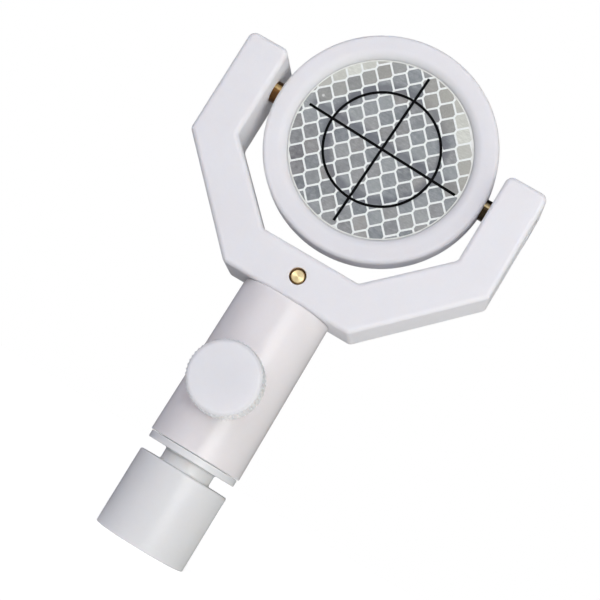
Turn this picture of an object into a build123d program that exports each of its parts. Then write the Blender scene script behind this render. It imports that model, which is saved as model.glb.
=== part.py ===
from build123d import *
import os
from math import cos, sin, radians, sqrt

# Rotating reflective survey target on a break-off adapter.
# Millimetres.  +Z runs up the socket tube, the front of the target faces -Y,
# and the origin is the centre of the adapter's bottom face (thread mouth).

os.makedirs("parts", exist_ok=True)

# ----------------------------------------------------------- driving sizes
# adapter
cap_r = 16.0               # lower cylinder
cap_h = 27.2
cap_edge = 0.5
neck_r = 9.05              # predetermined breaking neck
neck_top_z = 31.4
flange_r = 15.85           # lip the socket tube sits on
flange_top_z = 33.8
spigot_r = 11.9            # shaft inside the socket tube
spigot_top_z = 76.0
spigot_core_r = 7.6
spigot_core_z = 40.0
groove_r = 10.9            # clamping groove in the spigot
groove_h = 7.0
insert_r = 6.5             # threaded insert pressed into the cap
insert_len = 18.0
thread_r = 3.4             # M8 thread, tapping diameter 6.8
thread_depth = 16.0

# socket tube
tube_bottom_z = 33.95
tube_top_z = 91.1
tube_bottom_r = 16.4
tube_top_r = 15.7
socket_r = 11.97           # running fit on the spigot
socket_top_z = 79.0
tenon_r = 8.0
tenon_top_z = 103.0

# thumbscrew
screw_z = 58.2
boss_r = 6.8
boss_front_y = -18.2
guide_r = 3.05             # running fit on the M6 stud and the shoe
nut_r = 4.6
nut_back_y = -13.2
stud_r = 3.0
knob_r = 12.15
knob_front_y = -33.2
knob_back_y = -22.2
knob_hub_r = 6.3
knob_hub_y = -18.6
knurl_count = 52
stud_front_y = -30.1
shoe_tip_y = -11.2
shoe_out_y = -14.2
tip_r = 1.5

# yoke
yoke_t = 25.0
arm_out_x = 55.8
arm_in_x = 41.1
arm_top_z = 162.0
bend_out_z = 123.6
bend_in_z = 129.4
base_out_x = 23.3
base_in_x = 17.8
base_in_z = 106.9
edge_r = 1.7
pin_z = 99.0
pin_r = 2.3
pin_recess_r = 2.8
pin_recess_d = 4.0

# target disc
pivot_z = 150.4
ring_r = 38.8
ring_t = 10.0
foil_r = 30.6              # visible sheet
recess = 1.9
mouth_w = 3.4              # rounded slope from the face down to the sheet
mouth_wall = 0.45
sheet_t = 0.4
print_t = 0.12
circle_r = 19.4
circle_w = 0.88
cross_half = 28.5
cross_w = 0.92
print_dx = 0.36            # the front print sits a little off centre
print_dz = 0.16
sheet_clocking = 2.6       # the sheets are stuck on a little out of square

# pivots
shoulder_r = 3.75
bush_bore_r = 3.80
bush_r = 5.0
bush_out_x = 49.2
bush_in_x = 43.3           # the arm keeps a plain lip inside the bush
shoulder_in_x = 36.6
ring_insert_r = 3.1
ring_insert_in_x = 31.6
screw_thread_r = 1.9
head_r = 5.0
head_in_x = 49.95
head_out_x = 52.6
counterbore_r = 5.4
plug_in_x = 53.0
plug_out_x = 56.1

sheet_y = ring_t / 2 - recess - sheet_t      # half thickness of the ring's web


def at_z(z, tol=0.02):
    return lambda e: abs(e.center().Z - z) < tol


# ================================================================ adapter
with BuildPart() as break_off_adapter:
    with BuildSketch(Plane.XZ) as adapter_profile:
        with BuildLine():
            Polyline(
                (0, 0), (cap_r, 0), (cap_r, cap_h), (neck_r, cap_h),
                (neck_r, neck_top_z), (flange_r, neck_top_z),
                (flange_r, flange_top_z), (spigot_r, flange_top_z),
                (spigot_r, screw_z - groove_h / 2),
                (groove_r, screw_z - groove_h / 2),
                (groove_r, screw_z + groove_h / 2),
                (spigot_r, screw_z + groove_h / 2),
                (spigot_r, spigot_top_z), (0, spigot_top_z), (0, 0),
            )
        make_face()
    revolve(axis=Axis.Z)
    rings = break_off_adapter.edges().filter_by(GeomType.CIRCLE)
    fillet([e for e in rings if at_z(0)(e) and abs(e.radius - cap_r) < 0.01], cap_edge)
    rings = break_off_adapter.edges().filter_by(GeomType.CIRCLE)
    fillet([e for e in rings if at_z(cap_h)(e) and abs(e.radius - cap_r) < 0.01], 0.7)
    rings = break_off_adapter.edges().filter_by(GeomType.CIRCLE)
    fillet([e for e in rings if abs(e.radius - neck_r) < 0.01
            and (at_z(cap_h)(e) or at_z(neck_top_z)(e))], 0.6)
    rings = break_off_adapter.edges().filter_by(GeomType.CIRCLE)
    fillet([e for e in rings if abs(e.radius - flange_r) < 0.01], 0.35)
    rings = break_off_adapter.edges().filter_by(GeomType.CIRCLE)
    chamfer([e for e in rings if at_z(spigot_top_z)(e)], 1.2)
    # core that keeps the moulded spigot at an even wall
    with BuildSketch(Plane.XY.offset(spigot_core_z)):
        Circle(spigot_core_r)
    extrude(amount=spigot_top_z - spigot_core_z, mode=Mode.SUBTRACT)
    # pocket for the threaded insert and a shallow relief round it
    with BuildSketch(Plane.XY):
        Circle(insert_r)
    extrude(amount=insert_len, mode=Mode.SUBTRACT)
    with BuildSketch(Plane.XY):
        Circle(12.6)
        Circle(8.6, mode=Mode.SUBTRACT)
    extrude(amount=0.8, mode=Mode.SUBTRACT)
break_off_adapter.part.label = "break_off_adapter"
export_step(break_off_adapter.part, "parts/break_off_adapter.step")

with BuildPart() as adapter_thread_insert:
    with BuildSketch(Plane.XZ):
        with BuildLine():
            Polyline(
                (0, thread_depth), (thread_r, thread_depth), (thread_r, 0),
                (insert_r, 0), (insert_r, 7.0), (insert_r - 0.7, 7.4),
                (insert_r - 0.7, 10.6), (insert_r, 11.0), (insert_r, insert_len),
                (0, insert_len), (0, thread_depth),
            )
        make_face()
    revolve(axis=Axis.Z)
    mouth = [e for e in adapter_thread_insert.edges().filter_by(GeomType.CIRCLE)
             if at_z(0)(e) and abs(e.radius - thread_r) < 0.01]
    chamfer(mouth, 0.35)
adapter_thread_insert.part.label = "adapter_thread_insert"
export_step(adapter_thread_insert.part, "parts/adapter_thread_insert.step")

# ============================================================ socket tube
with BuildPart() as socket_tube:
    with BuildSketch(Plane.XZ):
        with BuildLine():
            Polyline(
                (socket_r, tube_bottom_z), (tube_bottom_r, tube_bottom_z),
                (tube_top_r, tube_top_z), (tenon_r, tube_top_z),
                (tenon_r, tenon_top_z), (0, tenon_top_z), (0, socket_top_z),
                (socket_r, socket_top_z), (socket_r, tube_bottom_z),
            )
        make_face()
    revolve(axis=Axis.Z)
    outer = [e for e in socket_tube.edges().filter_by(GeomType.CIRCLE)
             if (at_z(tube_bottom_z)(e) and e.radius > tube_bottom_r - 0.01)
             or (at_z(tube_top_z)(e) and abs(e.radius - tube_top_r) < 0.01)]
    fillet(outer, 0.35)
    lead = [e for e in socket_tube.edges().filter_by(GeomType.CIRCLE)
            if (at_z(tube_bottom_z)(e) and abs(e.radius - socket_r) < 0.01)
            or at_z(tenon_top_z)(e)]
    chamfer(lead, 0.5)
    # boss behind the thumbscrew
    with BuildSketch(Plane.XZ.offset(-boss_front_y)):
        with Locations((0, screw_z)):
            Circle(boss_r)
    extrude(amount=boss_front_y + 14.0)
    boss_rim = socket_tube.edges().filter_by(GeomType.CIRCLE).filter_by_position(
        Axis.Y, boss_front_y - 0.01, boss_front_y + 0.01)
    fillet(boss_rim, 0.6)
    # pocket for the threaded bush, and the way through for the shoe
    with BuildSketch(Plane.XZ.offset(-boss_front_y)):
        with Locations((0, screw_z)):
            Circle(nut_r)
    extrude(amount=boss_front_y - nut_back_y, mode=Mode.SUBTRACT)
    with BuildSketch(Plane.XZ.offset(-boss_front_y)):
        with Locations((0, screw_z)):
            Circle(guide_r)
    extrude(amount=boss_front_y + 8.0, mode=Mode.SUBTRACT)
    # hole for the cross pin through the tenon
    with BuildSketch(Plane.XZ.offset(-12)):
        with Locations((0, pin_z)):
            Circle(pin_r)
    extrude(amount=24, mode=Mode.SUBTRACT)
socket_tube.part.label = "socket_tube"
export_step(socket_tube.part, "parts/socket_tube.step")

with BuildPart() as thumbscrew_bush:
    with BuildSketch(Plane.XZ.offset(-boss_front_y)):
        with Locations((0, screw_z)):
            Circle(nut_r)
            Circle(guide_r, mode=Mode.SUBTRACT)
    extrude(amount=boss_front_y - nut_back_y)
    chamfer([e for e in thumbscrew_bush.edges().filter_by(GeomType.CIRCLE)
             if abs(e.radius - guide_r) < 0.01], 0.3)
thumbscrew_bush.part.label = "thumbscrew_bush"
export_step(thumbscrew_bush.part, "parts/thumbscrew_bush.step")

# =================================================================== yoke
with BuildPart() as yoke:
    with BuildSketch(Plane.XZ):
        with BuildLine():
            Polyline(
                (-arm_out_x, arm_top_z), (-arm_out_x, bend_out_z),
                (-base_out_x, tube_top_z), (base_out_x, tube_top_z),
                (arm_out_x, bend_out_z), (arm_out_x, arm_top_z),
                (arm_in_x, arm_top_z), (arm_in_x, bend_in_z),
                (base_in_x, base_in_z), (-base_in_x, base_in_z),
                (-arm_in_x, bend_in_z), (-arm_in_x, arm_top_z),
                (-arm_out_x, arm_top_z),
            )
        make_face()
    extrude(amount=yoke_t / 2, both=True)
    corners = yoke.edges().filter_by(Axis.Y)
    fillet(corners.filter_by_position(Axis.Z, arm_top_z - 0.1, arm_top_z + 0.1), 2.6)
    corners = yoke.edges().filter_by(Axis.Y)
    fillet([e for e in corners if abs(e.center().Z - arm_top_z) > 3], 2.2)
    front_back = (yoke.faces().filter_by(Axis.Y).sort_by(Axis.Y)[0].edges()
                  + yoke.faces().filter_by(Axis.Y).sort_by(Axis.Y)[-1].edges())
    fillet(front_back, edge_r)
    # socket for the tube's tenon
    with BuildSketch(Plane.XY.offset(tube_top_z)):
        Circle(tenon_r)
    extrude(amount=tenon_top_z - tube_top_z, mode=Mode.SUBTRACT)
    # cross pin hole, opened out at the front and the back
    with BuildSketch(Plane.XZ.offset(-yoke_t)):
        with Locations((0, pin_z)):
            Circle(pin_r)
    extrude(amount=2 * yoke_t, mode=Mode.SUBTRACT)
    for y0 in (-yoke_t / 2, yoke_t / 2 - pin_recess_d):
        with BuildSketch(Plane.XZ.offset(-y0)):
            with Locations((0, pin_z)):
                Circle(pin_recess_r)
        extrude(amount=-pin_recess_d, mode=Mode.SUBTRACT)
    # pivot bores: a through hole for the bush and a counterbore outside
    for s in (-1, 1):
        with BuildSketch(Plane.YZ.offset(s * (arm_in_x - 1))):
            with Locations((0, pivot_z)):
                Circle(shoulder_r + 0.1)
        extrude(amount=s * (bush_in_x - arm_in_x + 2), mode=Mode.SUBTRACT)
        with BuildSketch(Plane.YZ.offset(s * bush_in_x)):
            with Locations((0, pivot_z)):
                Circle(bush_r)
        extrude(amount=s * (arm_out_x - bush_in_x + 2), mode=Mode.SUBTRACT)
        with BuildSketch(Plane.YZ.offset(s * bush_out_x)):
            with Locations((0, pivot_z)):
                Circle(counterbore_r)
        extrude(amount=s * (arm_out_x - bush_out_x + 2), mode=Mode.SUBTRACT)
yoke.part.label = "yoke"
export_step(yoke.part, "parts/yoke.step")

with BuildPart() as yoke_cross_pin:
    with BuildSketch(Plane.XZ.offset(-(yoke_t / 2 - 0.7))):
        with Locations((0, pin_z)):
            Circle(pin_r)
    extrude(amount=yoke_t - 1.4)
    chamfer(yoke_cross_pin.edges().filter_by(GeomType.CIRCLE), 0.3)
yoke_cross_pin.part.label = "yoke_cross_pin"
export_step(yoke_cross_pin.part, "parts/yoke_cross_pin.step")

# ============================================================= thumbscrew
with BuildPart() as clamp_shoe:
    with BuildSketch(Plane.XZ.offset(-shoe_out_y)):
        with Locations((0, screw_z)):
            Circle(stud_r)
    extrude(amount=shoe_out_y - shoe_tip_y)
    chamfer(clamp_shoe.edges().filter_by(GeomType.CIRCLE).sort_by(Axis.Y)[-1], 0.4)
    with BuildSketch(Plane.XZ.offset(-shoe_out_y)):
        with Locations((0, screw_z)):
            Circle(tip_r + 0.06)
    extrude(amount=-1.8, mode=Mode.SUBTRACT)
clamp_shoe.part.label = "clamp_shoe"
export_step(clamp_shoe.part, "parts/clamp_shoe.step")

with BuildPart() as thumbscrew_stud:
    with BuildSketch(Plane.XZ.offset(-stud_front_y)):
        with Locations((0, screw_z)):
            Circle(stud_r)
    extrude(amount=stud_front_y - (shoe_out_y - 0.15))
    with BuildSketch(Plane.XZ.offset(-(shoe_out_y - 0.15))):
        with Locations((0, screw_z)):
            Circle(tip_r)
    extrude(amount=-1.75)
    chamfer(thumbscrew_stud.edges().filter_by(GeomType.CIRCLE).sort_by(Axis.Y)[-1], 0.3)
thumbscrew_stud.part.label = "thumbscrew_stud"
export_step(thumbscrew_stud.part, "parts/thumbscrew_stud.step")

with BuildPart() as thumbscrew_knob:
    with BuildSketch(Plane.XZ.offset(-knob_front_y)):
        with Locations((0, screw_z)):
            Circle(knob_r)
    extrude(amount=knob_front_y - knob_back_y)
    fillet(thumbscrew_knob.edges().sort_by(Axis.Y)[0], 1.8)
    fillet(thumbscrew_knob.edges().sort_by(Axis.Y)[-1], 0.5)
    with BuildSketch(Plane.XZ.offset(-knob_back_y)):
        with Locations((0, screw_z)):
            Circle(knob_hub_r)
    extrude(amount=knob_back_y - knob_hub_y)
    # fine straight knurl round the rim
    with BuildSketch(Plane.XZ.offset(-knob_front_y + 0.5)):
        with Locations((0, screw_z)):
            with PolarLocations(knob_r + 0.18, knurl_count):
                Circle(0.62)
    extrude(amount=-(knob_back_y - knob_front_y + 1.0), mode=Mode.SUBTRACT)
    # seat of the moulded-in stud
    with BuildSketch(Plane.XZ.offset(-knob_hub_y)):
        with Locations((0, screw_z)):
            Circle(stud_r)
    extrude(amount=knob_hub_y - stud_front_y, mode=Mode.SUBTRACT)
thumbscrew_knob.part.label = "thumbscrew_knob"
export_step(thumbscrew_knob.part, "parts/thumbscrew_knob.step")

# ================================================================= target
with BuildPart() as target_frame:
    with BuildSketch(Plane.XY.offset(pivot_z)):
        with BuildLine():
            foot = foil_r + 0.1
            Polyline((foot, sheet_y + mouth_wall), (foil_r, sheet_y), (0, sheet_y),
                     (0, -sheet_y), (foil_r, -sheet_y), (foot, -sheet_y - mouth_wall))
            TangentArc((foil_r + mouth_w, -ring_t / 2), (foot, -sheet_y - mouth_wall), tangent=(-1, 0))
            Polyline((foil_r + mouth_w, -ring_t / 2), (ring_r, -ring_t / 2),
                     (ring_r, ring_t / 2), (foil_r + mouth_w, ring_t / 2))
            TangentArc((foil_r + mouth_w, ring_t / 2), (foot, sheet_y + mouth_wall), tangent=(-1, 0))
        make_face()
    revolve(axis=Axis((0, 0, pivot_z), (0, 1, 0)))
    rims = target_frame.edges().filter_by(GeomType.CIRCLE)
    fillet([e for e in rims if abs(e.radius - ring_r) < 0.01], 1.5)
    for s in (-1, 1):
        # seat of the pivot screw's shoulder, and the deeper insert pocket
        with BuildSketch(Plane.YZ.offset(s * shoulder_in_x)):
            with Locations((0, pivot_z)):
                Circle(shoulder_r)
        extrude(amount=s * 6, mode=Mode.SUBTRACT)
        with BuildSketch(Plane.YZ.offset(s * ring_insert_in_x)):
            with Locations((0, pivot_z)):
                Circle(ring_insert_r)
        extrude(amount=s * 6, mode=Mode.SUBTRACT)
target_frame.part.label = "target_frame"
export_step(target_frame.part, "parts/target_frame.step")


# front and rear: sheet, then the printed circle and cross on top of it
with BuildPart() as front_reflective_sheet:
    with BuildSketch(Plane.XZ.offset(sheet_y)):
        with Locations((0, pivot_z)):
            Circle(foil_r - 0.05)
    extrude(amount=sheet_t)
front_reflective_sheet.part.label = "front_reflective_sheet"
export_step(front_reflective_sheet.part, "parts/front_reflective_sheet.step")

with BuildPart() as rear_reflective_sheet:
    with BuildSketch(Plane.XZ.offset(-sheet_y)):
        with Locations((0, pivot_z)):
            Circle(foil_r - 0.05)
    extrude(amount=-sheet_t)
rear_reflective_sheet.part.label = "rear_reflective_sheet"
export_step(rear_reflective_sheet.part, "parts/rear_reflective_sheet.step")

with BuildPart() as front_crosshair_print:
    with BuildSketch(Plane.XZ.offset(sheet_y + sheet_t)):
        with Locations((print_dx, pivot_z + print_dz)):
            Circle(circle_r + circle_w / 2)
            Circle(circle_r - circle_w / 2, mode=Mode.SUBTRACT)
        with Locations(Location((print_dx, pivot_z + print_dz), -sheet_clocking)):
            Rectangle(2 * cross_half, cross_w)
            Rectangle(cross_w, 2 * cross_half)
    extrude(amount=print_t)
front_crosshair_print.part.label = "front_crosshair_print"
export_step(front_crosshair_print.part, "parts/front_crosshair_print.step")

with BuildPart() as rear_crosshair_print:
    with BuildSketch(Plane.XZ.offset(-sheet_y - sheet_t)):
        with Locations((0, pivot_z)):
            Circle(circle_r + circle_w / 2)
            Circle(circle_r - circle_w / 2, mode=Mode.SUBTRACT)
        with Locations(Location((0, pivot_z), sheet_clocking)):
            Rectangle(2 * cross_half, cross_w)
            Rectangle(cross_w, 2 * cross_half)
    extrude(amount=-print_t)
rear_crosshair_print.part.label = "rear_crosshair_print"
export_step(rear_crosshair_print.part, "parts/rear_crosshair_print.step")

# ================================================================= pivots
# One set on each side, mirrored: the shoulder screw turns with the target
# inside a brass bush, and a spring washer under its head sets the friction.
for side, s in (("left", -1), ("right", 1)):
    with BuildPart() as ring_insert:
        with BuildSketch(Plane.YZ.offset(s * ring_insert_in_x)):
            with Locations((0, pivot_z)):
                Circle(ring_insert_r)
                Circle(screw_thread_r, mode=Mode.SUBTRACT)
        extrude(amount=s * (shoulder_in_x - ring_insert_in_x))
    ring_insert.part.label = side + "_ring_insert"
    export_step(ring_insert.part, "parts/" + side + "_ring_insert.step")

    with BuildPart() as arm_bush:
        with BuildSketch(Plane.YZ.offset(s * bush_in_x)):
            with Locations((0, pivot_z)):
                Circle(bush_r)
                Circle(bush_bore_r, mode=Mode.SUBTRACT)
        extrude(amount=s * (bush_out_x - bush_in_x))
        chamfer([e for e in arm_bush.edges().filter_by(GeomType.CIRCLE)
                 if abs(e.radius - bush_bore_r) < 0.01], 0.25)
    arm_bush.part.label = side + "_arm_bush"
    export_step(arm_bush.part, "parts/" + side + "_arm_bush.step")

    with BuildPart() as pivot_screw:
        with BuildSketch(Plane.XY.offset(pivot_z)):
            with BuildLine():
                Polyline(
                    (s * (ring_insert_in_x + 0.3), 0),
                    (s * (ring_insert_in_x + 0.3), screw_thread_r - 0.3),
                    (s * (ring_insert_in_x + 0.6), screw_thread_r),
                    (s * shoulder_in_x, screw_thread_r),
                    (s * shoulder_in_x, shoulder_r),
                    (s * head_in_x, shoulder_r),
                    (s * head_in_x, head_r),
                    (s * (head_out_x - 0.4), head_r),
                    (s * head_out_x, head_r - 0.4),
                    (s * head_out_x, 0),
                    (s * (ring_insert_in_x + 0.3), 0),
                )
            make_face()
        revolve(axis=Axis((0, 0, pivot_z), (1, 0, 0)))
        # hexagon socket in the head
        with BuildSketch(Plane.YZ.offset(s * head_out_x)):
            with Locations((0, pivot_z)):
                RegularPolygon(radius=2.0, side_count=6, major_radius=False)
        extrude(amount=-s * 1.8, mode=Mode.SUBTRACT)
    pivot_screw.part.label = side + "_pivot_screw"
    export_step(pivot_screw.part, "parts/" + side + "_pivot_screw.step")

    with BuildPart() as spring_washer:
        # slightly coned ring
        with BuildSketch(Plane.XY.offset(pivot_z)):
            with BuildLine():
                Polyline(
                    (s * (bush_out_x + 0.02), 4.95), (s * (bush_out_x + 0.32), 4.95),
                    (s * (head_in_x - 0.06), 4.1), (s * (head_in_x - 0.36), 4.1),
                    (s * (bush_out_x + 0.02), 4.95),
                )
            make_face()
        revolve(axis=Axis((0, 0, pivot_z), (1, 0, 0)))
    spring_washer.part.label = side + "_spring_washer"
    export_step(spring_washer.part, "parts/" + side + "_spring_washer.step")

    with BuildPart() as pivot_plug:
        with BuildSketch(Plane.YZ.offset(s * plug_in_x)):
            with Locations((0, pivot_z)):
                Circle(counterbore_r)
        extrude(amount=s * (plug_out_x - plug_in_x))
        outer_rim = pivot_plug.edges().filter_by(GeomType.CIRCLE).sort_by(Axis.X)
        fillet(outer_rim[-1] if s > 0 else outer_rim[0], 0.5)
    pivot_plug.part.label = side + "_pivot_plug"
    export_step(pivot_plug.part, "parts/" + side + "_pivot_plug.step")
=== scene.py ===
import math
import random

import bmesh
import bpy
from mathutils import Matrix, Vector


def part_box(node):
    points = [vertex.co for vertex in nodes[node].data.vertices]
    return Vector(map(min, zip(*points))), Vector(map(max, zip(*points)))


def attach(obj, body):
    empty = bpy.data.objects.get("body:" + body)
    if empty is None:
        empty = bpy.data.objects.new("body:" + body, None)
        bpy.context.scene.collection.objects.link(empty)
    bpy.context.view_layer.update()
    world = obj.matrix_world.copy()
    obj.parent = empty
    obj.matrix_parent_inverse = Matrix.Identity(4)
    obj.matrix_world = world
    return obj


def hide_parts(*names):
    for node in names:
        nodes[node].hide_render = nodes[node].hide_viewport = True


# ---------------------------------------------------------------- frame
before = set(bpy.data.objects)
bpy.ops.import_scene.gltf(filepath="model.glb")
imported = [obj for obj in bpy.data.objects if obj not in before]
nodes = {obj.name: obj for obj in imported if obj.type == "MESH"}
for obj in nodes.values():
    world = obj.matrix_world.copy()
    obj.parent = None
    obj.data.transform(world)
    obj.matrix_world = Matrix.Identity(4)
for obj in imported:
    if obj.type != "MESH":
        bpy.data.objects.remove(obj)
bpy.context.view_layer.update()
scene = bpy.context.scene
MM = 0.001


# ---------------------------------------------------------------- material helpers
class Graph:
    """A node material around one Principled shader, in millimetres of the object's own frame."""

    def __init__(self, name):
        self.mat = bpy.data.materials.new(name)
        self.mat.use_nodes = True
        self.nt = self.mat.node_tree
        self.nt.nodes.clear()
        self.out = self.nt.nodes.new("ShaderNodeOutputMaterial")
        self.bsdf = self.nt.nodes.new("ShaderNodeBsdfPrincipled")
        self.link(self.bsdf.outputs[0], self.out.inputs["Surface"])
        tc = self.nt.nodes.new("ShaderNodeTexCoord")
        mp = self.nt.nodes.new("ShaderNodeMapping")
        mp.inputs["Scale"].default_value = (1000, 1000, 1000)
        self.link(tc.outputs["Object"], mp.inputs["Vector"])
        self.mm = mp.outputs["Vector"]

    def link(self, a, b):
        self.nt.links.new(a, b)

    def new(self, kind, **props):
        n = self.nt.nodes.new(kind)
        for k, v in props.items():
            setattr(n, k, v)
        return n

    def stretched(self, sx, sy, sz):
        m = self.new("ShaderNodeMapping")
        m.inputs["Scale"].default_value = (sx, sy, sz)
        self.link(self.mm, m.inputs["Vector"])
        return m.outputs["Vector"]

    def noise(self, scale, detail=3.0, rough=0.5, vector=None, distortion=0.0):
        n = self.new("ShaderNodeTexNoise")
        n.inputs["Scale"].default_value = scale
        n.inputs["Detail"].default_value = detail
        n.inputs["Roughness"].default_value = rough
        n.inputs["Distortion"].default_value = distortion
        self.link(vector or self.mm, n.inputs["Vector"])
        return n.outputs["Fac"]

    def voronoi(self, scale, feature="F1", vector=None):
        n = self.new("ShaderNodeTexVoronoi", feature=feature)
        n.inputs["Scale"].default_value = scale
        self.link(vector or self.mm, n.inputs["Vector"])
        return n.outputs["Distance"]

    def ramp(self, value, stops, interp="LINEAR"):
        n = self.new("ShaderNodeValToRGB")
        n.color_ramp.interpolation = interp
        e = n.color_ramp.elements
        e[0].position, e[0].color = stops[0][0], tuple(stops[0][1]) + (1,)
        e[1].position, e[1].color = stops[-1][0], tuple(stops[-1][1]) + (1,)
        for p, c in stops[1:-1]:
            x = e.new(p)
            x.color = tuple(c) + (1,)
        self.link(value, n.inputs["Fac"])
        return n.outputs["Color"]

    def to_range(self, value, lo, hi, a, b):
        n = self.new("ShaderNodeMapRange")
        for k, v in (("From Min", lo), ("From Max", hi), ("To Min", a), ("To Max", b)):
            n.inputs[k].default_value = v
        self.link(value, n.inputs["Value"])
        return n.outputs["Result"]

    def math(self, op, a, b=None, clamp=False):
        n = self.new("ShaderNodeMath", operation=op, use_clamp=clamp)
        for i, v in enumerate((a, b)):
            if v is None:
                continue
            if isinstance(v, (int, float)):
                n.inputs[i].default_value = v
            else:
                self.link(v, n.inputs[i])
        return n.outputs[0]

    def mix(self, fac, a, b, blend="MIX"):
        n = self.new("ShaderNodeMix", data_type="RGBA", blend_type=blend)
        for s, v in ((n.inputs["Factor"], fac), (n.inputs[6], a), (n.inputs[7], b)):
            if isinstance(v, (int, float)):
                s.default_value = v
            elif isinstance(v, (tuple, list)):
                s.default_value = tuple(v) + (1,)
            else:
                self.link(v, s)
        return n.outputs[2]

    def bump(self, heights):
        """heights: (value, distance in mm, strength), laid on each other."""
        last = None
        for value, distance, strength in heights:
            n = self.new("ShaderNodeBump")
            n.inputs["Distance"].default_value = distance * MM
            n.inputs["Strength"].default_value = strength
            self.link(value, n.inputs["Height"])
            if last is not None:
                self.link(last, n.inputs["Normal"])
            last = n.outputs["Normal"]
        self.link(last, self.bsdf.inputs["Normal"])

    def set(self, **k):
        for name, v in k.items():
            s = self.bsdf.inputs[name.replace("_", " ")]
            s.default_value = tuple(v) + (1,) if isinstance(v, (tuple, list)) and len(v) == 3 and s.type == "RGBA" else v

    def colour(self, c):
        self.link(c, self.bsdf.inputs["Base Color"])

    def roughness(self, r):
        self.link(r, self.bsdf.inputs["Roughness"])


def lin(*srgb):
    return tuple(((c / 255) / 12.92 if c <= 10 else ((c / 255 + 0.055) / 1.055) ** 2.4) for c in srgb)


def plastic(name, light, dark, rough=(0.34, 0.46), grain=0.012, machining=None, marks=0.35, sss=1.6, specks=0.10,
            waves=0.03, shine=0.42, painted_light_bands=None, painted_light_and_shade_by_normal=(), painted_shade_round=None):
    """Machined or moulded white engineering plastic: faint clouding, a few specks, fine surface grain."""
    g = Graph(name)
    cloud = g.noise(0.045, 3.0, 0.55)
    base = g.ramp(cloud, [(0.30, dark), (0.70, light)])
    fine = g.noise(1.7, 4.0, 0.6)
    base = g.mix(g.to_range(fine, 0.35, 0.75, 0.0, 0.10), base, tuple(0.88 * c for c in dark))
    # few dust specks and pale rubs
    speck = g.voronoi(0.42)
    speck = g.ramp(speck, [(0.0, (1, 1, 1)), (0.035, (1, 1, 1)), (0.06, (0, 0, 0))])
    keep = g.ramp(g.noise(0.11, 2.0), [(0.60, (0, 0, 0)), (0.66, (1, 1, 1))])
    amount = g.mix(1.0, speck, keep, "MULTIPLY")
    base = g.mix(g.math("MULTIPLY", amount, specks), base, tuple(0.55 * c for c in dark))
    if painted_light_bands:
        # painted light: bands of the turning are painted paler to lift the shade in the recessed neck and along the
        # dark joint line
        sep = g.new("ShaderNodeSeparateXYZ")
        g.link(g.mm, sep.inputs[0])
        for z0, z1, soft, tint, much in painted_light_bands:
            band = g.math("MULTIPLY", g.to_range(sep.outputs["Z"], z0 - soft, z0, 0.0, 1.0), g.to_range(sep.outputs["Z"], z1, z1 + soft, 1.0, 0.0))
            base = g.mix(g.math("MULTIPLY", band, much), base, tint)
    if painted_light_and_shade_by_normal:
        # painted light and shade by how far a face turns away from the knob's axis: the rounded front edge is painted
        # darker to damp its highlight, the sides paler
        nrm = g.new("ShaderNodeTexCoord")
        sep = g.new("ShaderNodeSeparateXYZ")
        g.link(nrm.outputs["Normal"], sep.inputs[0])
        ny = g.math("ABSOLUTE", sep.outputs["Y"])
        for a, b, tint, much in painted_light_and_shade_by_normal:
            base = g.mix(g.to_range(ny, a, b, 0.0, much), base, tint)
    if painted_shade_round:
        # painted shade round a hole or the sheet's recess mouth, grey and heavier towards the top, or brown as a
        # painted reflection of brass: (centre z, radius where it ends, radius where it is full)
        zc, r_end, r_full, tint, much, heavier_above = painted_shade_round
        sep = g.new("ShaderNodeSeparateXYZ")
        g.link(g.mm, sep.inputs[0])
        dz = g.math("SUBTRACT", sep.outputs["Z"], zc)
        rr = g.math("SQRT", g.math("ADD", g.math("MULTIPLY", sep.outputs["X"], sep.outputs["X"]), g.math("MULTIPLY", dz, dz)))
        mask = g.to_range(rr, r_end, r_full, 0.0, much)
        if heavier_above:
            mask = g.math("MULTIPLY", mask, g.to_range(dz, -12.0, 22.0, 0.15, 1.0))
            mask = g.math("MULTIPLY", mask, g.to_range(g.noise(0.5, 2.0), 0.3, 0.7, 0.7, 1.0))
        base = g.mix(mask, base, tint)
    g.colour(base)
    g.roughness(g.to_range(g.noise(0.35, 4.0, 0.6), 0.3, 0.7, rough[0], rough[1]))
    heights = [(g.noise(3.2, 3.0, 0.6), 0.10, grain * 10)]
    if machining is not None:
        heights.append((g.noise(1.0, 2.0, 0.5, g.stretched(*machining)), 0.05, marks))
    heights.append((g.noise(0.16, 2.0, 0.5), 0.6, waves))
    g.bump(heights)
    g.set(IOR=1.49, Specular_IOR_Level=shine)
    if sss:
        g.set(Subsurface_Weight=1.0, Subsurface_Scale=sss * MM, Subsurface_Anisotropy=0.2)
        g.bsdf.inputs["Subsurface Radius"].default_value = (1.0, 0.92, 0.85)
    return g.mat


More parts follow.
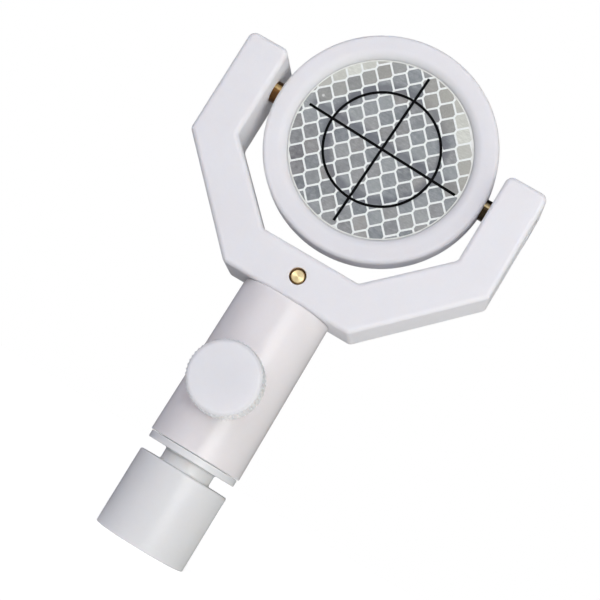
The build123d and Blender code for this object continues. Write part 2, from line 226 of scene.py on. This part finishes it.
def metal(name, light, dark, rough=(0.18, 0.32), turned=(1, 1, 1), tarnish=None, lathe_axis=None, painted_highlight_band=None):
    g = Graph(name)
    base = g.ramp(g.noise(0.8, 4.0, 0.6), [(0.32, dark), (0.68, light)])
    if tarnish:
        t = g.ramp(g.noise(0.45, 3.0, 0.6), [(0.52, (0, 0, 0)), (0.72, (1, 1, 1))])
        base = g.mix(g.math("MULTIPLY", t, 0.55), base, tarnish)
    if painted_highlight_band:
        # painted highlight and shade: the turning is painted dark brown as painted shade but for one band of faces
        # turned a little upwards, left bright as a painted highlight
        mid, wide, tint = painted_highlight_band
        nrm = g.new("ShaderNodeTexCoord")
        sep = g.new("ShaderNodeSeparateXYZ")
        g.link(nrm.outputs["Normal"], sep.inputs[0])
        wander = g.math("MULTIPLY", g.math("SUBTRACT", g.noise(0.9, 2.0), 0.5), 0.25)
        off = g.math("ABSOLUTE", g.math("SUBTRACT", g.math("ADD", sep.outputs["Z"], wander), mid))
        base = g.mix(g.to_range(off, 0.55 * wide, wide, 0.0, 0.92), base, tint)
    g.colour(base)
    g.roughness(g.to_range(g.noise(1.6, 4.0, 0.6), 0.3, 0.7, rough[0], rough[1]))
    g.bump([(g.noise(6.0, 3.0, 0.6, g.stretched(*turned)), 0.03, 0.35), (g.noise(1.2, 2.0), 0.05, 0.12)])
    g.set(Metallic=1.0, IOR=1.5)
    if lathe_axis:
        # turning marks run round the axis, so the shine spreads along it
        tangent = g.new("ShaderNodeTangent", direction_type="RADIAL", axis=lathe_axis)
        g.link(tangent.outputs[0], g.bsdf.inputs["Tangent"])
        g.set(Anisotropic=0.85, Anisotropic_Rotation=0.25)
    return g.mat


M = {}
# painted shade and painted reflection: the yoke is painted brown in the groove round the brass cross pin
M["yoke"] = plastic("yoke_plastic", (0.812, 0.806, 0.824), (0.790, 0.783, 0.801), rough=(0.50, 0.60), machining=(0.5, 12, 0.5), shine=0.32,
                    painted_shade_round=(99.0, 2.90, 2.78, (0.46, 0.29, 0.15), 1.0, False))
# painted shade: the target ring is painted grey round the sheet's recess mouth, heavier at the top
M["target"] = plastic("target_plastic", (0.794, 0.787, 0.805), (0.772, 0.764, 0.781), rough=(0.50, 0.60), machining=(0.5, 12, 0.5), shine=0.32,
                      painted_shade_round=(150.4, 33.2, 31.0, (0.64, 0.66, 0.64), 0.38, True))
# painted light: the tube's bottom band and the adapter's neck and joint band are painted paler to lift their shade
M["tube"] = plastic("tube_plastic", (0.798, 0.770, 0.774), (0.782, 0.754, 0.758), rough=(0.20, 0.23), grain=0.002, machining=(0.3, 0.3, 4), marks=0.02, specks=0.03, waves=0.003, shine=0.26,
                    painted_light_bands=((33.5, 34.1, 0.2, (0.93, 0.92, 0.91), 0.5),))
M["adapter"] = plastic("adapter_plastic", (0.756, 0.756, 0.758), (0.740, 0.740, 0.742), rough=(0.20, 0.23), grain=0.002, machining=(0.3, 0.3, 4), marks=0.025, sss=0.8, specks=0.03, waves=0.003, shine=0.28, painted_light_bands=((27.4, 31.2, 0.4, (0.90, 0.895, 0.88), 0.55), (33.55, 34.0, 0.15, (0.93, 0.925, 0.92), 0.45)))
# painted shade and light: the knob's rounded front edge is painted darker and its sides paler
M["knob"] = plastic("knob_plastic", (0.785, 0.782, 0.800), (0.767, 0.763, 0.781), rough=(0.48, 0.56), sss=4.5, specks=0.05, shine=0.34, painted_light_and_shade_by_normal=((0.995, 0.90, (0.68, 0.68, 0.695), 0.8), (0.50, 0.20, (0.92, 0.915, 0.91), 1.0)))
M["plug"] = plastic("plug_plastic", (0.790, 0.787, 0.815), (0.770, 0.766, 0.795))
M["brass"] = metal("brass", (0.86, 0.62, 0.26), (0.74, 0.50, 0.17), turned=(1, 1, 1))
# painted highlight and shade: the left pivot brass is painted dark brown beside a bright band
M["brass_turned"] = metal("brass_turned", (0.80, 0.58, 0.27), (0.66, 0.43, 0.18), rough=(0.30, 0.36), turned=(9, 0.4, 0.4), lathe_axis="X", painted_highlight_band=(0.30, 0.27, (0.115, 0.042, 0.012)))
# a copy of the same brass painted darker, near black beside its band, as painted shade for the right pivot
M["brass_browned"] = metal("brass_browned", (0.66, 0.54, 0.30), (0.54, 0.42, 0.21), rough=(0.30, 0.36), turned=(9, 0.4, 0.4), lathe_axis="X", painted_highlight_band=(0.32, 0.25, (0.016, 0.006, 0.003)))
M["brass_pin"] = metal("brass_pin", (0.90, 0.76, 0.44), (0.78, 0.62, 0.30), rough=(0.30, 0.40), turned=(0.4, 9, 0.4), lathe_axis="Y")
M["steel"] = metal("steel", (0.62, 0.62, 0.63), (0.50, 0.50, 0.52), rough=(0.22, 0.38), turned=(0.4, 0.4, 0.4))


def print_ink():
    g = Graph("crosshair_ink")
    base = g.ramp(g.noise(2.5, 4.0, 0.6), [(0.3, (0.0015, 0.0015, 0.0018)), (0.7, (0.004, 0.004, 0.0045))])
    g.colour(base)
    g.roughness(g.to_range(g.noise(5.0, 3.0), 0.3, 0.7, 0.38, 0.55))
    g.bump([(g.noise(9.0, 3.0, 0.6), 0.02, 0.3)])
    g.set(IOR=1.45, Specular_IOR_Level=0.05)
    return g.mat


M["ink"] = print_ink()

FINISH = {
    "yoke": "yoke", "target_frame": "target", "socket_tube": "tube", "break_off_adapter": "adapter",
    "thumbscrew_knob": "knob", "left_pivot_plug": "plug", "right_pivot_plug": "plug",
    "adapter_thread_insert": "brass", "thumbscrew_bush": "brass", "thumbscrew_stud": "steel",
    "clamp_shoe": "brass", "yoke_cross_pin": "brass_pin",
    # the right pivot's brass parts take the copy painted darker as painted shade
    "left_ring_insert": "brass_turned", "right_ring_insert": "brass_browned",
    "left_arm_bush": "brass_turned", "right_arm_bush": "brass_browned",
    "left_pivot_screw": "brass_turned", "right_pivot_screw": "brass_browned",
    "left_spring_washer": "steel", "right_spring_washer": "steel",
    "front_crosshair_print": "ink", "rear_crosshair_print": "ink",
}
for name, key in FINISH.items():
    o = nodes[name]
    o.data.materials.clear()
    o.data.materials.append(M[key])

# narrow turned bands keep the slope of their own face, not that of the small rounding beside them
for name in ("break_off_adapter", "socket_tube"):
    w = nodes[name].modifiers.new("face_weighted_normals", "WEIGHTED_NORMAL")
    w.mode = "FACE_AREA_WITH_ANGLE"
    w.weight = 100
    w.keep_sharp = True

# ---------------------------------------------------------------- reflective sheets
lo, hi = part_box("front_reflective_sheet")
rlo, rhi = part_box("rear_reflective_sheet")
PIVOT_Z = (lo.z + hi.z) / 2
SHEET_R = (hi.x - lo.x) / 2
FRONT_Y, BACK_Y = lo.y, hi.y          # outer and bonded faces of the front sheet
REAR_OUT, REAR_BOND = rhi.y, rlo.y
THICK = BACK_Y - FRONT_Y

PITCH, ROW, SHORT = 6.156 * MM, 4.288 * MM, 0.630 * MM   # cells along a row, rows, half of a cell's short upright edge
TALL = ROW - SHORT
TURN = -0.0492
OX, OZ = 5.288 * MM, 5.338 * MM
SEAL = 0.67 * MM                       # width of the white seal lines


def cell_centres(radius):
    c, s = math.cos(TURN), math.sin(TURN)
    n = int(radius / ROW) + 3
    for j in range(-n - 2, n + 3):
        for i in range(-n - 2, n + 3):
            u = (i + (0.5 if j % 2 else 0.0)) * PITCH
            v = j * ROW
            x, z = OX + u * c - v * s, OZ + u * s + v * c
            if math.hypot(x, z) < radius + PITCH:
                yield i, j, x, z


def hexagon(x, z, inset):
    """Convex outline of one cell, each side moved in by inset."""
    c, s = math.cos(TURN), math.sin(TURN)
    p = [(PITCH / 2, SHORT), (0, TALL), (-PITCH / 2, SHORT), (-PITCH / 2, -SHORT), (0, -TALL), (PITCH / 2, -SHORT)]
    out = []
    for k in range(6):
        a, b, d = Vector(p[k - 1]), Vector(p[k]), Vector(p[(k + 1) % 6])
        e1, e2 = (b - a).normalized(), (d - b).normalized()
        n1, n2 = Vector((-e1.y, e1.x)), Vector((-e2.y, e2.x))
        m = (n1 + n2).normalized()
        q = b + m * (inset / m.dot(n1))
        out.append((x + q.x * c - q.y * s, z + q.x * s + q.y * c))
    return out


def clip_circle(poly, r, n=180):
    """Sutherland-Hodgman against a fine polygon of radius r."""
    if all(math.hypot(*q) <= r * math.cos(math.pi / n) for q in poly):
        return poly
    for k in range(n):
        a = 2 * math.pi * (k + 0.5) / n
        nx, nz, d = math.cos(a), math.sin(a), r * math.cos(math.pi / n)
        out = []
        for i in range(len(poly)):
            p, q = poly[i - 1], poly[i]
            dp, dq = p[0] * nx + p[1] * nz - d, q[0] * nx + q[1] * nz - d
            if dp <= 0:
                out.append(p)
            if dp * dq < 0:
                t = dp / (dp - dq)
                out.append((p[0] + t * (q[0] - p[0]), p[1] + t * (q[1] - p[1])))
        poly = out
        if not poly:
            return []
    clean = []
    for q in poly:
        if not clean or math.hypot(q[0] - clean[-1][0], q[1] - clean[-1][1]) > 1e-6:
            clean.append(q)
    if len(clean) > 2 and math.hypot(clean[0][0] - clean[-1][0], clean[0][1] - clean[-1][1]) <= 1e-6:
        clean.pop()
    return clean if len(clean) > 2 else []


def area(poly):
    return 0.5 * sum(poly[i - 1][0] * poly[i][1] - poly[i][0] * poly[i - 1][1] for i in range(len(poly)))


def rounded(poly, r, steps=3):
    """The outline with its corners rounded."""
    out = []
    n = len(poly)
    for k in range(n):
        a, b, c = Vector(poly[k - 1]), Vector(poly[k]), Vector(poly[(k + 1) % n])
        d1, d2 = (a - b), (c - b)
        l1, l2 = d1.length, d2.length
        if l1 < 1e-7 or l2 < 1e-7:
            continue
        d1, d2 = d1 / l1, d2 / l2
        ang = d1.angle(d2, math.pi)
        if ang > math.radians(172):
            out.append((b.x, b.y))
            continue
        t = min(r / math.tan(ang / 2), 0.4 * l1, 0.4 * l2)
        p, q = b + d1 * t, b + d2 * t
        for s in range(steps + 1):
            w = s / steps
            m = p * (1 - w) ** 2 + b * 2 * w * (1 - w) + q * w ** 2
            out.append((m.x, m.y))
    return out


def shrink(poly, d):
    """Outline moved in by d towards its centre, for a convex outline."""
    n = len(poly)
    out = []
    for k in range(n):
        a, b, c = Vector(poly[k - 1]), Vector(poly[k]), Vector(poly[(k + 1) % n])
        e1, e2 = b - a, c - b
        if e1.length < 1e-9 or e2.length < 1e-9:
            out.append((b.x, b.y))
            continue
        e1, e2 = e1.normalized(), e2.normalized()
        n1, n2 = Vector((-e1.y, e1.x)), Vector((-e2.y, e2.x))
        m = n1 + n2
        if m.length < 1e-6:
            out.append((b.x, b.y))
            continue
        m.normalize()
        q = b + m * (d / max(0.35, m.dot(n1)))
        out.append((q.x, q.y))
    return out


def new_object(name, bm, material, body):
    me = bpy.data.meshes.new(name)
    bm.to_mesh(me)
    bm.free()
    o = bpy.data.objects.new(name, me)
    scene.collection.objects.link(o)
    me.materials.append(material)
    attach(o, body)
    return o


def sheet_pieces(side):
    """Backing film, cell panes and the seal lines between them, for one face of the target. side is -1 at the front."""
    y_out = FRONT_Y if side < 0 else REAR_OUT
    y_bond = BACK_Y if side < 0 else REAR_BOND
    label = "front" if side < 0 else "rear"

    def at(x, depth, z):
        """depth in metres below the sheet's outer face."""
        return Vector((x if side < 0 else -x, y_out - side * depth, PIVOT_Z + z))

    outer_r = SHEET_R
    cells = []
    rng = random.Random(11 if side < 0 else 12)
    for i, j, x, z in cell_centres(outer_r):
        hexa = hexagon(x, z, SEAL / 2)
        if area(hexa) < 0:
            hexa.reverse()
        pane = clip_circle(hexa, outer_r - 0.45 * MM)
        if not pane or area(pane) < 0.35 * MM * MM:
            continue
        pane = rounded(pane, 0.28 * MM)
        r_c = math.hypot(x, z) / MM
        ang = math.degrees(math.atan2(z, x)) % 360
        # painted reflection and painted shade near the rim: cells round parts of the rim are painted pale as a painted
        # reflection, and cells low on the left of the rim are painted dark as painted shade
        painted_reflection = 0.0
        for mid, wide, r_from, much in ((40, 34, 23.6, 1.0), (74, 14, 19.5, 0.50), (60, 20, 19.0, 0.40), (138, 34, 23.4, 1.0), (8, 14, 24.0, 0.6)):
            w = max(0.0, 1 - (abs((ang - mid + 180) % 360 - 180) / wide) ** 2)
            painted_reflection = max(painted_reflection, much * w * min(1.0, max(0.0, (r_c - r_from) / 4.0)))
        painted_rim_shade = max(0.0, 1 - (abs((ang - 216 + 180) % 360 - 180) / 32) ** 2) * min(1.0, max(0.0, (r_c - 22.5) / 3.0))
        cells.append((x, z, pane, rng.random(), rng.random(), painted_reflection * rng.uniform(0.75, 1.0), painted_rim_shade * rng.uniform(0.6, 1.0)))

    # ---- panes, each a shallow pillow with its own shade
    bm = bmesh.new()
    shade = bm.faces.layers.float.new("cell_shade")
    hue = bm.faces.layers.float.new("cell_hue")
    reflection_layer = bm.faces.layers.float.new("cell_painted_reflection")
    dark = bm.faces.layers.float.new("cell_painted_shade")
    for x, z, pane, a, b, c_painted_reflection, c_rim_shade in cells:
        rings = []
        cxm = sum(p[0] for p in pane) / len(pane)
        czm = sum(p[1] for p in pane) / len(pane)
        span = math.sqrt(abs(area(pane)) / math.pi)
        for inset, depth in ((0.0, 0.16 * MM), (0.0, 0.075 * MM), (0.14 * MM, 0.058 * MM), (0.40 * MM, 0.048 * MM)):
            k = 1 - min(0.6, inset / span)
            rings.append([bm.verts.new(at(cxm + (p[0] - cxm) * k, depth, czm + (p[1] - czm) * k)) for p in pane])
        faces = []
        for r0, r1 in zip(rings, rings[1:]):
            n = len(r0)
            for k in range(n):
                faces.append(bm.faces.new((r0[k], r0[(k + 1) % n], r1[(k + 1) % n], r1[k])))
        faces.append(bm.faces.new(rings[-1]))
        faces.append(bm.faces.new(list(reversed(rings[0]))))
        for f in faces:
            f[shade] = a
            f[hue] = b
            f[reflection_layer] = c_painted_reflection
            f[dark] = c_rim_shade
    bmesh.ops.recalc_face_normals(bm, faces=bm.faces[:])
    panes = new_object(label + "_prism_cells", bm, sheet_cells_material(side), "target")

    # ---- seal lines and rim: the disc less the panes, as one raised net
    from mathutils.geometry import delaunay_2d_cdt
    pts, edges, faces_in = [], [], []

    def loop(poly):
        base = len(pts)
        pts.extend(Vector(p) for p in poly)
        n = len(poly)
        edges.extend((base + k, base + (k + 1) % n) for k in range(n))
        faces_in.append([base + k for k in range(n)])
        return base

    n_out = 240
    circle = [(outer_r * math.cos(2 * math.pi * k / n_out), outer_r * math.sin(2 * math.pi * k / n_out)) for k in range(n_out)]
    loop(circle)
    for cell in cells:
        loop(cell[2])
    vs, es, fs, ov, oe, of = delaunay_2d_cdt(pts, [], faces_in, 1, 1e-7, True)
    bm = bmesh.new()
    top = [bm.verts.new(at(v.x, 0.02 * MM, v.y)) for v in vs]
    tops = []
    for f, src in zip(fs, of):
        if src == [0]:
            tops.append(bm.faces.new([top[k] for k in f]))
    loose = [v for v in bm.verts if not v.link_faces]
    for v in loose:
        bm.verts.remove(v)
    # walls down into the panes
    rim = [e for e in bm.edges if len(e.link_faces) == 1]
    ext = bmesh.ops.extrude_edge_only(bm, edges=rim)
    for v in (g for g in ext["geom"] if isinstance(g, bmesh.types.BMVert)):
        v.co.y = y_out - side * 0.13 * MM
    bmesh.ops.recalc_face_normals(bm, faces=bm.faces[:])
    bmesh.ops.beautify_fill(bm, faces=[f for f in bm.faces if abs(f.normal.y) > 0.9], edges=[e for e in bm.edges if len(e.link_faces) == 2 and all(abs(f.normal.y) > 0.9 for f in e.link_faces)])
    net = new_object(label + "_seal_net", bm, sheet_seal_material(side), "target")
    sol = None

    # ---- backing film that closes the sheet
    bm = bmesh.new()
    prof = [(0.0, THICK), (outer_r - 0.10 * MM, THICK), (outer_r, THICK - 0.06 * MM), (outer_r, 0.07 * MM), (outer_r - 0.02 * MM, 0.10 * MM), (0.0, 0.125 * MM)]
    n = 240
    rings = []
    for r, d in prof:
        if r == 0:
            rings.append([bm.verts.new(at(0, d, 0))])
        else:
            rings.append([bm.verts.new(at(r * math.cos(2 * math.pi * k / n), d, r * math.sin(2 * math.pi * k / n))) for k in range(n)])
    for r0, r1 in zip(rings, rings[1:]):
        for k in range(n):
            k2 = (k + 1) % n
            if len(r0) == 1:
                bm.faces.new((r0[0], r1[k], r1[k2]))
            elif len(r1) == 1:
                bm.faces.new((r0[k], r0[k2], r1[0]))
            else:
                bm.faces.new((r0[k], r0[k2], r1[k2], r1[k]))
    bmesh.ops.recalc_face_normals(bm, faces=bm.faces[:])
    back = new_object(label + "_backing_film", bm, sheet_seal_material(side), "target")
    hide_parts(label + "_reflective_sheet")
    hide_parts(label + "_reflective_sheet")
    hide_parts(label + "_reflective_sheet")
    return panes, net, back


def sheet_space(g, side):
    """x to the right and z up on that face, in mm from the pivot centre."""
    sep = g.new("ShaderNodeSeparateXYZ")
    g.link(g.mm, sep.inputs[0])
    x = sep.outputs["X"] if side < 0 else g.math("MULTIPLY", sep.outputs["X"], -1.0)
    z = g.math("SUBTRACT", sep.outputs["Z"], PIVOT_Z * 1000)
    return x, z


def attribute(g, name):
    n = g.new("ShaderNodeAttribute", attribute_name=name)
    return n.outputs["Fac"]


def sheet_cells_material(side):
    """Grey microprisms behind a clear film. Each cell has its own shade, a prismatic sparkle and streaks, and a painted
    reflection of the black print shows faint and a little higher in the prisms behind it; cells near the rim carry
    painted reflection and painted shade."""
    g = Graph(("front" if side < 0 else "rear") + "_prism_cells")
    x, z = sheet_space(g, side)
    base = g.ramp(attribute(g, "cell_shade"), [(0.0, lin(109, 115, 119)), (0.5, lin(128, 134, 137)), (1.0, lin(150, 155, 155))])
    base = g.mix(g.math("MULTIPLY", g.math("POWER", attribute(g, "cell_hue"), 2.5), 0.6), base, lin(152, 146, 140))
    # soft clouding inside the cells, fine sparkle and slanting streaks of the prisms
    cloud = g.noise(0.55, 3.0, 0.6)
    base = g.mix(g.to_range(cloud, 0.38, 0.66, 0.0, 0.34), base, lin(172, 174, 176))
    slant = g.new("ShaderNodeMapping")
    slant.inputs["Rotation"].default_value = (0, math.radians(52), 0)
    slant.inputs["Scale"].default_value = (0.55, 1, 3.2)
    g.link(g.mm, slant.inputs["Vector"])
    streak = g.noise(1.15, 4.0, 0.7, slant.outputs["Vector"])
    base = g.mix(g.to_range(streak, 0.50, 0.74, 0.0, 0.42), base, lin(194, 196, 190))
    base = g.mix(g.to_range(streak, 0.46, 0.26, 0.0, 0.36), base, lin(108, 111, 118))
    grain = g.noise(4.2, 5.0, 0.8)
    base = g.mix(g.to_range(grain, 0.50, 0.30, 0.0, 0.44), base, lin(106, 110, 112))
    if side < 0:
        # one small bubble under the film
        bx, bz = g.math("ADD", x, 25.7), g.math("SUBTRACT", z, 6.3)
        bubble = g.math("SQRT", g.math("ADD", g.math("MULTIPLY", bx, bx), g.math("MULTIPLY", bz, bz)))
        base = g.mix(g.to_range(bubble, 0.28, 0.62, 0.9, 0.0), base, lin(236, 238, 238))
    # painted reflection of the black print in the prisms: a second, faint image, displaced upwards
    dx, dz = (0.36, 0.16) if side < 0 else (0.0, 0.0)
    x, z = g.math("SUBTRACT", x, dx), g.math("SUBTRACT", z, dz)
    zz = g.math("SUBTRACT", z, 1.9)
    rr = g.math("SQRT", g.math("ADD", g.math("MULTIPLY", x, x), g.math("MULTIPLY", zz, zz)))
    ring = g.math("ABSOLUTE", g.math("SUBTRACT", rr, 19.4))
    t = math.radians(2.6)
    level = g.math("ABSOLUTE", g.math("ADD", g.math("MULTIPLY", x, math.sin(t)), g.math("MULTIPLY", zz, math.cos(t))))
    near = g.math("MINIMUM", ring, level)
    wobble = g.math("MULTIPLY", g.math("SUBTRACT", g.noise(0.5, 2.0), 0.5), 1.6)
    print_reflection = g.to_range(g.math("ADD", near, wobble), 0.5, 2.3, 0.68, 0.0)
    inside = g.to_range(rr, 27.0, 29.5, 1.0, 0.0)
    base = g.mix(g.math("MULTIPLY", print_reflection, inside), base, lin(92, 94, 102))
    # painted shade on the dark cells and painted reflection on the pale cells near the rim
    base = g.mix(g.math("MULTIPLY", attribute(g, "cell_painted_shade"), g.to_range(cloud, 0.3, 0.7, 0.95, 0.45)), base, lin(88, 86, 92))
    reflection_tint = g.mix(g.to_range(streak, 0.35, 0.7, 0.0, 1.0), lin(196, 198, 189), lin(224, 226, 217))
    painted_reflection = attribute(g, "cell_painted_reflection")
    base = g.mix(g.to_range(painted_reflection, 0.02, 0.45, 0.0, 0.85), base, g.mix(g.to_range(grain, 0.35, 0.65, 0.0, 1.0), lin(140, 138, 130), lin(176, 174, 165)))
    base = g.mix(g.to_range(painted_reflection, 0.40, 0.95, 0.0, 0.92), base, reflection_tint)
    g.colour(base)
    g.roughness(g.to_range(grain, 0.3, 0.7, 0.34, 0.52))
    g.bump([(grain, 0.03, 0.45), (streak, 0.05, 0.3)])
    g.set(IOR=1.48, Specular_IOR_Level=0.35)
    return g.mat


def sheet_seal_material(side):
    key = "sheet_seal"
    if key in bpy.data.materials:
        return bpy.data.materials[key]
    g = Graph(key)
    x, z = sheet_space(g, -1)
    base = g.ramp(g.noise(1.6, 4.0, 0.6), [(0.3, lin(221, 225, 222)), (0.7, lin(235, 238, 235))])
    rr = g.math("SQRT", g.math("ADD", g.math("MULTIPLY", x, x), g.math("MULTIPLY", z, z)))
    base = g.mix(g.to_range(rr, SHEET_R * 1000 - 1.0, SHEET_R * 1000 - 0.45, 0.0, 0.9), base,
                 g.ramp(g.noise(0.35, 3.0), [(0.35, lin(208, 209, 203)), (0.65, lin(226, 227, 222))]))
    g.colour(base)
    g.roughness(g.to_range(g.noise(2.0, 3.0), 0.3, 0.7, 0.3, 0.45))
    g.bump([(g.noise(4.0, 3.0, 0.6), 0.02, 0.3)])
    g.set(IOR=1.45)
    return g.mat


sheet_pieces(-1)
sheet_pieces(1)

# ---------------------------------------------------------------- floor
bm = bmesh.new()
n, rings = 96, []
for r in (0.0, 0.5, 1.5, 4.0, 12.0):
    rings.append([bm.verts.new((0, 0, 0))] if r == 0 else
                 [bm.verts.new((r * math.cos(2 * math.pi * k / n), r * math.sin(2 * math.pi * k / n), 0)) for k in range(n)])
for r0, r1 in zip(rings, rings[1:]):
    for k in range(n):
        k2 = (k + 1) % n
        bm.faces.new((r0[0], r1[k], r1[k2]) if len(r0) == 1 else (r0[k], r1[k], r1[k2], r0[k2]))
bmesh.ops.recalc_face_normals(bm, faces=bm.faces[:])
me = bpy.data.meshes.new("studio_floor")
bm.to_mesh(me)
bm.free()
floor = bpy.data.objects.new("studio_floor", me)
scene.collection.objects.link(floor)
fm = bpy.data.materials.new("studio_floor")
fm.use_nodes = True
nt = fm.node_tree
nt.nodes.clear()
out = nt.nodes.new("ShaderNodeOutputMaterial")
diff = nt.nodes.new("ShaderNodeBsdfDiffuse")
diff.inputs["Color"].default_value = (0.92, 0.92, 0.92, 1)
emi = nt.nodes.new("ShaderNodeEmission")
emi.inputs["Color"].default_value = (1, 1, 1, 1)
emi.inputs["Strength"].default_value = 0.80
add = nt.nodes.new("ShaderNodeAddShader")
low = nt.nodes.new("ShaderNodeBsdfDiffuse")
low.inputs["Color"].default_value = (0.50, 0.50, 0.51, 1)
# painted bounce light: for light bounced onto the object the floor is grey and glows, more on the right, standing in
# for white reflector cards to the right of the object; the camera sees it white with an even glow
geo = nt.nodes.new("ShaderNodeNewGeometry")
sep = nt.nodes.new("ShaderNodeSeparateXYZ")
nt.links.new(geo.outputs["Position"], sep.inputs[0])


def across(axis, a, b, lo_v, hi_v):
    m = nt.nodes.new("ShaderNodeMapRange")
    m.interpolation_type = "SMOOTHSTEP"
    for k, v in (("From Min", a), ("From Max", b), ("To Min", lo_v), ("To Max", hi_v)):
        m.inputs[k].default_value = v
    nt.links.new(sep.outputs[axis], m.inputs["Value"])
    return m.outputs[0]


left_part = nt.nodes.new("ShaderNodeMath")
left_part.operation = "MULTIPLY"
nt.links.new(across("X", -0.12, 0.12, 1.0, 0.0), left_part.inputs[0])
nt.links.new(across("Y", -0.12, 0.12, 0.107, 0.0), left_part.inputs[1])
right_part = nt.nodes.new("ShaderNodeMath")
right_part.operation = "MULTIPLY"
nt.links.new(across("X", -0.12, 0.12, 0.0, 1.0), right_part.inputs[0])
nt.links.new(across("Y", -0.12, 0.12, 0.751, 0.489), right_part.inputs[1])
both = nt.nodes.new("ShaderNodeMath")
both.operation = "ADD"
nt.links.new(right_part.outputs[0], both.inputs[0])
nt.links.new(left_part.outputs[0], both.inputs[1])
bounce_glow = nt.nodes.new("ShaderNodeEmission")
nt.links.new(both.outputs[0], bounce_glow.inputs["Strength"])
low_add = nt.nodes.new("ShaderNodeAddShader")
nt.links.new(low.outputs[0], low_add.inputs[0])
nt.links.new(bounce_glow.outputs[0], low_add.inputs[1])
lp = nt.nodes.new("ShaderNodeLightPath")
mx = nt.nodes.new("ShaderNodeMixShader")
nt.links.new(diff.outputs[0], add.inputs[0])
nt.links.new(emi.outputs[0], add.inputs[1])
nt.links.new(lp.outputs["Is Camera Ray"], mx.inputs[0])
nt.links.new(low_add.outputs[0], mx.inputs[1])
nt.links.new(add.outputs[0], mx.inputs[2])
nt.links.new(mx.outputs[0], out.inputs[0])
me.materials.append(fm)

# ---------------------------------------------------------------- soft studio light
world = bpy.data.worlds.new("studio")
scene.world = world
world.use_nodes = True
nt = world.node_tree
nt.nodes.clear()
wout = nt.nodes.new("ShaderNodeOutputWorld")
tc = nt.nodes.new("ShaderNodeTexCoord")


# soft light from a few directions: azimuth (0 is the front, 90 the right), elevation, tightness, strength
SOFT_LIGHT = [
    (-120, 0, 8.0, 0.552), (-60, 0, 8.0, 0.195), (-30, 0, 8.0, 2.003), (60, 0, 8.0, 1.512), (-30, 35, 8.0, 0.632),
    (8, 35, 80.0, 2.67), (22, -5, 80.0, 26.85), (22, 15, 80.0, 0.825), (36, -5, 80.0, 25.38), (50, -5, 80.0, 2.594),
]
def lobe_sum(lobes):
    total = None
    for az, el, tight, power in lobes:
        a, e = math.radians(az), math.radians(el)
        d = nt.nodes.new("ShaderNodeVectorMath")
        d.operation = "DOT_PRODUCT"
        d.inputs[1].default_value = (math.sin(a) * math.cos(e), -math.cos(a) * math.cos(e), math.sin(e))
        nt.links.new(tc.outputs["Generated"], d.inputs[0])
        m = nt.nodes.new("ShaderNodeMath")
        m.operation = "MULTIPLY_ADD"
        nt.links.new(d.outputs["Value"], m.inputs[0])
        m.inputs[1].default_value, m.inputs[2].default_value = tight, -tight
        x = nt.nodes.new("ShaderNodeMath")
        x.operation = "EXPONENT"
        nt.links.new(m.outputs[0], x.inputs[0])
        k = nt.nodes.new("ShaderNodeMath")
        k.operation = "MULTIPLY_ADD"
        nt.links.new(x.outputs[0], k.inputs[0])
        k.inputs[1].default_value = power
        if total is None:
            k.inputs[2].default_value = 0.0
        else:
            nt.links.new(total, k.inputs[2])
        total = k.outputs[0]
    return total


# the left side of the room is a little cooler than the lamp side
bg = nt.nodes.new("ShaderNodeAddShader")
for slot, colour, lobes in ((0, (0.955, 0.955, 1.075), [b for b in SOFT_LIGHT if b[0] < 0]),
                            (1, (1.000, 1.002, 0.985), [b for b in SOFT_LIGHT if b[0] >= 0])):
    side = nt.nodes.new("ShaderNodeBackground")
    side.inputs["Color"].default_value = colour + (1,)
    nt.links.new(lobe_sum(lobes), side.inputs["Strength"])
    nt.links.new(side.outputs[0], bg.inputs[slot])
white = nt.nodes.new("ShaderNodeBackground")
white.inputs["Color"].default_value = (1.0, 1.0, 1.0, 1)
white.inputs["Strength"].default_value = 1.0
lp = nt.nodes.new("ShaderNodeLightPath")
mx = nt.nodes.new("ShaderNodeMixShader")
nt.links.new(lp.outputs["Is Camera Ray"], mx.inputs[0])
nt.links.new(bg.outputs[0], mx.inputs[1])
nt.links.new(white.outputs[0], mx.inputs[2])
nt.links.new(mx.outputs[0], wout.inputs[0])
world.cycles.sampling_method = "MANUAL"
world.cycles.sample_map_resolution = 512

# ---------------------------------------------------------------- camera
cam_d = bpy.data.cameras.new("camera")
cam_d.sensor_width = 36.0
cam_d.lens = 94.578
cam_d.clip_start, cam_d.clip_end = 0.01, 60
cam = bpy.data.objects.new("camera", cam_d)
scene.collection.objects.link(cam)
right, up, back = Vector((0.85356, 0.05666, 0.51790)), Vector((-0.50227, -0.17459, 0.84690)), Vector((0.13840, -0.98301, -0.12057))
rot = Matrix((right, up, back)).transposed()
cam.matrix_world = Matrix.Translation(Vector((73.92, -504.49, 32.4)) * MM) @ rot.to_4x4()
scene.camera = cam
scene.view_settings.view_transform = "Standard"
scene.view_settings.look = "None"
